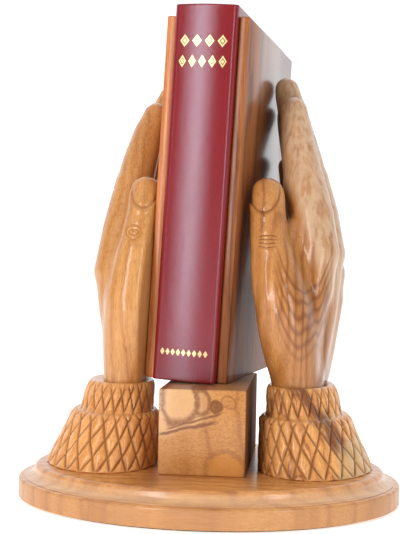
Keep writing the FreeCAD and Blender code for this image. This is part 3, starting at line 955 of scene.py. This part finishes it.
def ovalBoard(name, profile, half, material):
    # Rings that step in along the oval's own normal, so a rounded edge is even all round.
    angle = np.linspace(0, 2 * math.pi, boardSizes["columns"], endpoint=False)
    edge = np.stack([half[0] * np.cos(angle), half[1] * np.sin(angle)], 1)
    normal = np.stack([np.cos(angle) / half[0], np.sin(angle) / half[1]], 1)
    normal /= np.linalg.norm(normal, axis=1)[:, None]
    rings = [np.column_stack([edge - normal * inset, np.full(len(angle), height)])
             for inset, height in profile]
    count = len(angle)
    faces = []
    for row in range(len(rings) - 1):
        for column in range(count):
            after = (column + 1) % count
            a, b = row * count + column, row * count + after
            faces.append((a, b, b + count, a + count))
    faces.append(tuple(range(count - 1, -1, -1)))
    faces.append(tuple(range((len(rings) - 1) * count, len(rings) * count)))
    piece = newObject(name, np.concatenate(rings) * mm, faces, material, smooth=False)
    return smoothByAngle(piece, 32)


def quarterTurn(count=8):
    return [math.radians(90 * k / count) for k in range(count + 1)]


def lowerBoard(material):
    low, high = (np.array(corner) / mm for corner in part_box("base_lower_board"))
    foot, top = boardSizes["foot"], boardSizes["lowerRound"]
    profile = [(foot * (1 - math.sin(a)), low[2] + foot * (1 - math.cos(a))) for a in quarterTurn(4)]
    profile += [(top * (1 - math.cos(a)), high[2] - top * (1 - math.sin(a))) for a in quarterTurn()]
    return ovalBoard("lowerBoard", profile, (high - low)[:2] / 2, material)


def upperBoard(material):
    # A hollow moulding rises from the lip, and the top edge is rounded over.
    low, high = (np.array(corner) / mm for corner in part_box("base_upper_board"))
    spread, rise, lip, top = (boardSizes[key] for key in ("spread", "mouldingHeight", "lip", "upperRound"))
    profile = [(0.0, low[2]), (0.0, low[2] + lip * 0.6), (0.3, low[2] + lip)]
    profile += [(0.3 + (spread - 0.3) * math.sin(a), low[2] + lip + rise * (1 - math.cos(a)))
                for a in quarterTurn(10)[1:]]
    profile += [(spread + top * (1 - math.cos(a)), high[2] - top * (1 - math.sin(a))) for a in quarterTurn()]
    lower = np.array(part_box("base_lower_board")[1]) / mm
    return ovalBoard("upperBoard", profile, (lower - boardSizes["upperInset"])[:2], material)


def smoothByAngle(piece, degrees):
    piece.data.shade_smooth()
    piece.data.set_sharp_from_angle(angle=math.radians(degrees))
    return piece


def softBox(name, low, high, radius, material, matrix=None, segments=3):
    # A box with rounded edges, in metres, moved by the matrix if there is one.
    shape = bmesh.new()
    bmesh.ops.create_cube(shape, size=1.0)
    size = np.array(high) - np.array(low)
    centre = (np.array(high) + np.array(low)) / 2
    for vertex in shape.verts:
        vertex.co = Vector(np.array(vertex.co) * size + centre)
    bmesh.ops.bevel(shape, geom=shape.edges[:], offset=radius, segments=segments, profile=0.5, affect="EDGES")
    if matrix:
        bmesh.ops.transform(shape, matrix=matrix, verts=shape.verts)
    bmesh.ops.recalc_face_normals(shape, faces=shape.faces[:])
    mesh = bpy.data.meshes.new(name)
    shape.to_mesh(mesh)
    shape.free()
    mesh.materials.append(material)
    piece = bpy.data.objects.new(name, mesh)
    bpy.context.scene.collection.objects.link(piece)
    return smoothByAngle(piece, 50)


bookSizes = {"leather": 0.8, "cornerRadius": 3.2, "bulge": 2.0, "capRound": 1.0, "boardRound": 0.9,
             "leaves": 46, "leafGap": 0.10, "leafInset": 0.4, "ragged": 0.35, "leafSeed": 4}


def leatherCover(material):
    # One skin: along one side, round the spine and back along the other, given thickness inward.
    low, high = (corner / mm for corner in bookBox("leather_cover"))
    half = (high[0] - low[0]) / 2
    middle = (high[0] + low[0]) / 2
    front = low[1] + bookSizes["bulge"]
    radius = bookSizes["cornerRadius"]
    path = []
    for y in np.linspace(high[1], front + radius, 24):
        path.append((-half, y))
    flat = half - radius
    rim = bookSizes["bulge"] * 0.30
    for degrees in range(10, 90, 10):
        angle = math.radians(degrees)
        behind = front + radius - (radius + rim) * math.sin(angle)
        path.append((-half + radius * (1 - math.cos(angle)), behind))
    for x in np.linspace(-flat, flat, 33):
        path.append((x, front - rim - (bookSizes["bulge"] - rim) * (1 - (x / flat) ** 2)))
    path += [(-x, y) for x, y in path[:32][::-1]]
    path = np.array(path)
    heights = [0.0, 0.15, 0.5, 1.0, 2.0]
    total = high[2] - low[2]
    levels = np.array(heights + list(np.linspace(6, total - 6, 24)) + [total - h for h in heights[::-1]])
    points = []
    for level in levels:
        near = min(level, total - level)
        pull = bookSizes["capRound"] * (1 - math.sqrt(1 - (1 - min(near / 1.0, 1)) ** 2)) * 0.8
        shift = path.copy()
        shift[:, 0] -= np.sign(shift[:, 0]) * np.where(abs(shift[:, 0]) >= half - 1e-6, pull * 0.4, 0)
        shift[:, 1] += np.where(abs(shift[:, 0]) < half - 0.5, pull, 0)
        points.append(np.column_stack([shift[:, 0] + middle, shift[:, 1],
                                       np.full(len(path), low[2] + level)]))
    count = len(path)
    faces = []
    for row in range(len(levels) - 1):
        for column in range(count - 1):
            a = row * count + column
            faces.append((a, a + 1, a + count + 1, a + count))
    piece = newObject("leatherCover", np.concatenate(points) * mm, faces, material)
    solid = piece.modifiers.new("thickness", "SOLIDIFY")
    solid.thickness = bookSizes["leather"] * mm
    solid.offset = -1
    solid.use_even_offset = True
    bake(piece)
    piece.data.transform(bookMatrix)
    return smoothByAngle(piece, 40)


def leafTree():
    # A row of thin leaves side by side, each a little out of line with the next.
    labels = ("Leaf thickness", "Leaf depth", "Leaf height", "Pitch", "Ragged")
    lengths = [(label, "Float", None) for label in labels]
    others = [("Seed", "Int", bookSizes["leafSeed"]), ("Start", "Vector", None),
              ("Material", "Material", None)]
    tree, g, given = newTree("bookLeaves", [("Count", "Int", bookSizes["leaves"])] + lengths + others)
    step = g.node("ShaderNodeCombineXYZ", None, {0: given["Pitch"], 1: 0.0, 2: 0.0})
    row = g.node("GeometryNodeMeshLine", {"mode": "OFFSET", "count_mode": "TOTAL"},
                 {"Count": given["Count"], "Start Location": given["Start"], "Offset": step})
    size = g.node("ShaderNodeCombineXYZ", None,
                  {0: given["Leaf thickness"], 1: given["Leaf depth"], 2: given["Leaf height"]})
    leaf = g.node("GeometryNodeMeshCube", None, {"Size": size})
    placed = g.node("GeometryNodeInstanceOnPoints", None, {"Points": row, "Instance": leaf})
    shift = g.node("FunctionNodeRandomValue", {"data_type": "FLOAT_VECTOR"},
                   {0: (0.0, -1.0, -1.0), 1: (0.0, 0.0, 0.0), "Seed": given["Seed"]})
    slipped = g.scaled(shift, given["Ragged"])
    moved = g.node("GeometryNodeTranslateInstances", None, {"Instances": placed, "Translation": slipped})
    finishTree(g, moved, given["Material"])
    return tree


def textBlock(material):
    low, high = bookBox("text_block")
    count = bookSizes["leaves"]
    pitch = (high[0] - low[0]) / count
    piece = newObject("textBlock", [], [], material)
    inset = bookSizes["leafInset"] * mm
    values = {"Count": count, "Leaf thickness": pitch - bookSizes["leafGap"] * mm,
              "Leaf depth": high[1] - low[1] - inset, "Leaf height": high[2] - low[2] - inset,
              "Pitch": pitch, "Ragged": bookSizes["ragged"] * mm, "Seed": bookSizes["leafSeed"],
              "Start": (low[0] + pitch / 2, (low[1] + high[1]) / 2, (low[2] + high[2]) / 2),
              "Material": material}
    addTree(piece, leafTree(), values)
    piece.data.transform(bookMatrix)
    return piece


ornamentSizes = {"headRows": [(4, 7.0, 183.0, 2.6, 3.3), (5, 5.6, 172.0, 2.1, 3.3)],
                 "footRows": [(9, 3.0, 15.5, 1.15, 1.8)],
                 "proud": 0.10}


def ornament(name, rows, material):
    # Stamped gold: a pierced lozenge with a smaller one inside, laid on the rounded spine.
    low, high = (corner / mm for corner in bookBox("leather_cover"))
    half = (high[0] - low[0]) / 2
    middle = (high[0] + low[0]) / 2
    flat = half - bookSizes["cornerRadius"]
    rim = bookSizes["bulge"] * 0.30
    points, faces = [], []

    def skin(x, z, out):
        bulge = (bookSizes["bulge"] - rim) * (1 - (x / flat) ** 2)
        return (middle + x, low[1] + bookSizes["bulge"] - rim - bulge - out, low[2] + z)

    def frameShape(x, z, outer, inner):
        # A closed band between two lozenges, a solid lozenge if inner is nothing.
        ring = []
        for part in range(16):
            angle = 2 * math.pi * part / 16
            reach = 1 / (abs(math.cos(angle)) + abs(math.sin(angle)))
            for size in (inner, outer):
                across, along = reach * math.cos(angle) * size[0], reach * math.sin(angle) * size[1]
                for out in (-0.15, ornamentSizes["proud"]):
                    ring.append(skin(x + across, z + along, out))
        start = len(points)
        points.extend(ring)
        for part in range(16):
            here, there = start + part * 4, start + (part + 1) % 16 * 4
            for a, b in ((0, 1), (1, 3), (3, 2), (2, 0)):
                faces.append((here + a, here + b, there + b, there + a))

    for count, spacing, z, halfWidth, halfHeight in rows:
        for number in range(count):
            x = (number - (count - 1) / 2) * spacing
            frameShape(x, z, (halfWidth, halfHeight), (halfWidth * 0.62, halfHeight * 0.62))
            frameShape(x, z, (halfWidth * 0.40, halfHeight * 0.40), (0.02, 0.02))
    piece = newObject(name, np.array(points) * mm, faces, material, smooth=False)
    shape = bmesh.new()
    shape.from_mesh(piece.data)
    bmesh.ops.recalc_face_normals(shape, faces=shape.faces[:])
    shape.to_mesh(piece.data)
    shape.free()
    piece.data.transform(bookMatrix)
    return piece


leatherLooks = {"pebbles": 1.25, "deep": (0.205, 0.009, 0.011), "bright": (0.255, 0.014, 0.015),
                "creases": (0.12, 0.010, 0.014), "relief": 0.12, "gloss": (0.13, 0.07),
                "shine": {"Specular IOR Level": 0.64, "Specular Tint": (0.66, 0.84, 1.0, 1)}}


def leatherFinish():
    material, g = newMaterial("burgundyLeather")
    p = objectMillimetres(g)
    cells = g.node("ShaderNodeTexVoronoi", {"feature": "DISTANCE_TO_EDGE"},
                   {"Vector": p, "Scale": leatherLooks["pebbles"], "Randomness": 1.0})
    pebble = g.smooth(cells, 0.0, 0.22)
    fine = g.noise(p, 2.2, 3.0, 0.6)
    broad = g.noise(p, 0.03, 2.0, 0.5)
    colour = g.blend(broad, leatherLooks["deep"] + (1,), leatherLooks["bright"] + (1,))
    colour = g.blend((1 - pebble) * 0.45, colour, leatherLooks["creases"] + (1,))
    normal = bump(g, pebble * 0.7 + fine * 0.5, leatherLooks["relief"], 0.0003)
    roughness = leatherLooks["gloss"][0] + fine * leatherLooks["gloss"][1]
    finishMaterial(g, colour, roughness, normal, leatherLooks["shine"])
    return material


def paperFinish():
    material, g = newMaterial("pagePaper")
    p = objectMillimetres(g)
    lines = g.noise(g.vector("MULTIPLY", p, (6.0, 0.05, 0.05)), 1.0, 2.0, 0.6)
    tone = g.noise(p, 0.05, 2.0, 0.5)
    colour = g.blend(lines * 0.6 + tone * 0.3, (0.90, 0.83, 0.68, 1), (0.70, 0.60, 0.43, 1))
    finishMaterial(g, colour, 0.8, bump(g, lines, 0.3, 0.0002), {})
    return material


def plainFibre(name, light, dark, scale, roughness, strength, stretch=(1, 1, 1), sheen=0.0):
    material, g = newMaterial(name)
    p = objectMillimetres(g)
    fibre = g.noise(g.vector("MULTIPLY", p, stretch), scale, 4.0, 0.65)
    colour = g.blend(g.smooth(fibre, 0.3, 0.7), dark + (1,), light + (1,))
    finishMaterial(g, colour, roughness, bump(g, fibre, strength, 0.0003), {"Sheen Weight": sheen})
    return material


def silkFinish():
    material, g = newMaterial("bandSilk")
    p = g.node("ShaderNodeMapping", None, {"Vector": objectMillimetres(g), "Rotation": (0, 0, -bookTurn)})
    across, _, _ = g.parts(p)
    stitch = (across * 1.1).math("FRACT")
    stripe = g.smooth(abs(stitch - 0.5), 0.20, 0.30)
    colour = g.blend(stripe, (0.62, 0.45, 0.16, 1), (0.30, 0.03, 0.04, 1))
    relief = abs((across * 2.2).math("FRACT") - 0.5)
    finishMaterial(g, colour, 0.45, bump(g, relief, 0.5, 0.0003), {"Sheen Weight": 0.3})
    return material


def goldFinish():
    material, g = newMaterial("goldFoil")
    p = objectMillimetres(g)
    dulled = g.noise(p, 1.3, 3.0, 0.6)
    colour = g.blend(dulled, (1.0, 0.80, 0.42, 1), (0.92, 0.66, 0.28, 1))
    finishMaterial(g, colour, 0.28 + dulled * 0.2, bump(g, dulled, 0.2, 0.0002), {"Metallic": 0.9})
    return material


def steelFinish():
    material, g = newMaterial("screwSteel")
    p = objectMillimetres(g)
    brushed = g.noise(g.vector("MULTIPLY", p, (1, 1, 9)), 2.0, 3.0, 0.6)
    colour = g.blend(brushed, (0.60, 0.60, 0.62, 1), (0.42, 0.42, 0.44, 1))
    finishMaterial(g, colour, 0.3 + brushed * 0.15, bump(g, brushed, 0.15, 0.0002), {"Metallic": 1.0})
    return material


rightHandWood = oliveWood("rightHand", handMarks("right"))
leftHandWood = oliveWood("leftHand", handMarks("left"))
rightCuffWood = oliveWood("rightCuff", cuffMarks(True))
leftCuffWood = oliveWood("leftCuff", cuffMarks(False))
blockWood = oliveWood("block", blockMarks)
baseWood = oliveWood("base", baseMarks)
print("wood finishes made")

for name, wood in (("right", rightHandWood), ("left", leftHandWood)):
    place(carveHand(name, wood), "stand", [name + "_hand"], "hand_olive_wood")

lattice = latticeTree()
for name, wood, seed in (("right", rightCuffWood, 2.0), ("left", leftCuffWood, 5.0)):
    cuff = cuffShell(name, wood)
    addTree(cuff, lattice, {**latticeInputs, "Seed": seed, "Material": wood})
    place(cuff, "stand", [name + "_cuff"], "cuff_olive_wood")
print("cuffs carved")

place(lowerBoard(baseWood), "stand", ["base_lower_board"], "base_olive_wood")
place(upperBoard(baseWood), "stand", ["base_upper_board"], "base_olive_wood")
blockLow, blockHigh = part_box("centre_block")
block = softBox("centreBlock", blockLow, blockHigh, boardSizes["blockRound"] * mm, blockWood)
place(block, "stand", ["centre_block"], "block_olive_wood")
print("base and block made")

place(leatherCover(leatherFinish()), "book", ["leather_cover"], "burgundy_leather")
for name, node, wood in (("backWoodenBoard", "back_wooden_board", oliveWood("leftBoard")),
                         ("frontWoodenBoard", "front_wooden_board", oliveWood("rightBoard", boardMarks))):
    low, high = bookBox(node)
    board = softBox(name, low, high, bookSizes["boardRound"] * mm, wood, bookMatrix)
    place(board, "book", [node], "board_olive_wood")
place(textBlock(paperFinish()), "book", ["text_block"], "page_paper")
gold = goldFinish()
place(ornament("headOrnament", ornamentSizes["headRows"], gold), "book", ["head_ornament"], "gold_foil")
place(ornament("footOrnament", ornamentSizes["footRows"], gold), "book", ["foot_ornament"], "gold_foil")
dress(["back_cover_card", "front_cover_card", "spine_card"],
      plainFibre("greyCard", (0.46, 0.44, 0.41), (0.36, 0.34, 0.31), 2.0, 0.85, 0.3))
dress(["back_endpaper", "front_endpaper"], plainFibre("endpaper", (0.82, 0.78, 0.68), (0.74, 0.70, 0.60),
                                                      1.5, 0.8, 0.2))
dress(["spine_lining"], plainFibre("liningCloth", (0.78, 0.75, 0.67), (0.60, 0.57, 0.50), 3.0, 0.9, 0.4))
dress(["tail_band", "head_band"], silkFinish())
dress(["base_felt"], plainFibre("woolFelt", (0.07, 0.12, 0.08), (0.03, 0.06, 0.04), 1.6, 0.95, 0.6,
                                sheen=0.4))
dress(["block_screws", "left_cuff_screws", "right_cuff_screws"], steelFinish())
print("book and small pieces made")


stageSizes = {"floorHalf": 6.0, "floorGlow": 0.55, "lens": 75.28, "sensor": 36.0,
              "eye": (54.2, -609.6, 124.9),
              "ahead": (-0.0908, 0.9959, 0.0014), "roll": 1.17, "aimHeight": 0.13,
              "skyFront": 0.20, "skyBehind": 0.98, "skyAbove": 0.45}
# azimuth from the front, height, distance, width and height, power, colour
softboxes = {"keySoftbox": (-27, 0.42, 1.3, (0.24, 1.3), 12.5, (1.0, 0.97, 0.98)),
             "sideSoftbox": (40, 0.30, 1.3, (0.22, 0.8), 4.5, (0.90, 0.94, 1.0))}


def addFloor():
    half = stageSizes["floorHalf"]
    material, g = newMaterial("paleFloor")
    finishMaterial(g, (0.95, 0.95, 0.95, 1), 0.9, None,
                   {"Specular IOR Level": 0.0, "Emission Color": (1, 1, 1, 1),
                    "Emission Strength": stageSizes["floorGlow"]})
    floor = newObject("floor", [(-half, -half, 0), (half, -half, 0), (half, half, 0), (-half, half, 0)],
                      [(0, 1, 2, 3)], material, smooth=False)


def addWorld():
    # A white room that is brighter behind the object than in front of it.
    world = bpy.data.worlds.new("whiteRoom")
    bpy.context.scene.world = world
    world.use_nodes = True
    world.node_tree.nodes.clear()
    g = Graph(world.node_tree)
    direction = g.node("ShaderNodeTexCoord", None, None, 0)
    _, away, above = g.parts(direction)
    share = g.smooth(away, -0.10, 0.50)
    overhead = g.smooth(above, 0.25, 0.95)
    strength = stageSizes["skyFront"] + share * stageSizes["skyBehind"] + overhead * stageSizes["skyAbove"]
    colour = g.blend(share, (1.0, 0.99, 0.97, 1), (0.97, 0.98, 1.0, 1))
    background = g.node("ShaderNodeBackground", None, {"Color": colour, "Strength": strength})
    g.node("ShaderNodeOutputWorld", None, {"Surface": background})


def addSoftbox(name, azimuth, height, distance, size, power, colour):
    # A softbox that faces the object's middle; azimuth is measured from the front, rightward.
    light = bpy.data.lights.new(name, "AREA")
    light.shape = "RECTANGLE"
    light.size, light.size_y = size
    light.energy = power
    light.color = colour
    box = bpy.data.objects.new(name, light)
    angle = math.radians(azimuth)
    box.location = (distance * math.sin(angle), -distance * math.cos(angle), height)
    aim = Vector((0, 0, stageSizes["aimHeight"])) - box.location
    box.rotation_euler = aim.to_track_quat("-Z", "Y").to_euler()
    bpy.context.scene.collection.objects.link(box)


def addCamera():
    data = bpy.data.cameras.new("camera")
    data.sensor_fit = "VERTICAL"
    data.sensor_height = stageSizes["sensor"]
    data.lens = stageSizes["lens"]
    camera = bpy.data.objects.new("camera", data)
    ahead = Vector(stageSizes["ahead"]).normalized()
    right = ahead.cross(Vector((0, 0, 1))).normalized()
    up = right.cross(ahead)
    roll = math.radians(stageSizes["roll"])
    turnedRight = right * math.cos(roll) + up * math.sin(roll)
    turnedUp = up * math.cos(roll) - right * math.sin(roll)
    facing = Matrix((turnedRight, turnedUp, -ahead)).transposed().to_4x4()
    camera.matrix_world = Matrix.Translation(Vector(stageSizes["eye"]) * mm) @ facing
    bpy.context.scene.collection.objects.link(camera)
    bpy.context.scene.camera = camera


addFloor()
addWorld()
for name, values in softboxes.items():
    addSoftbox(name, *values)
addCamera()
bpy.context.scene.view_settings.view_transform = "Standard"
print("stage set")
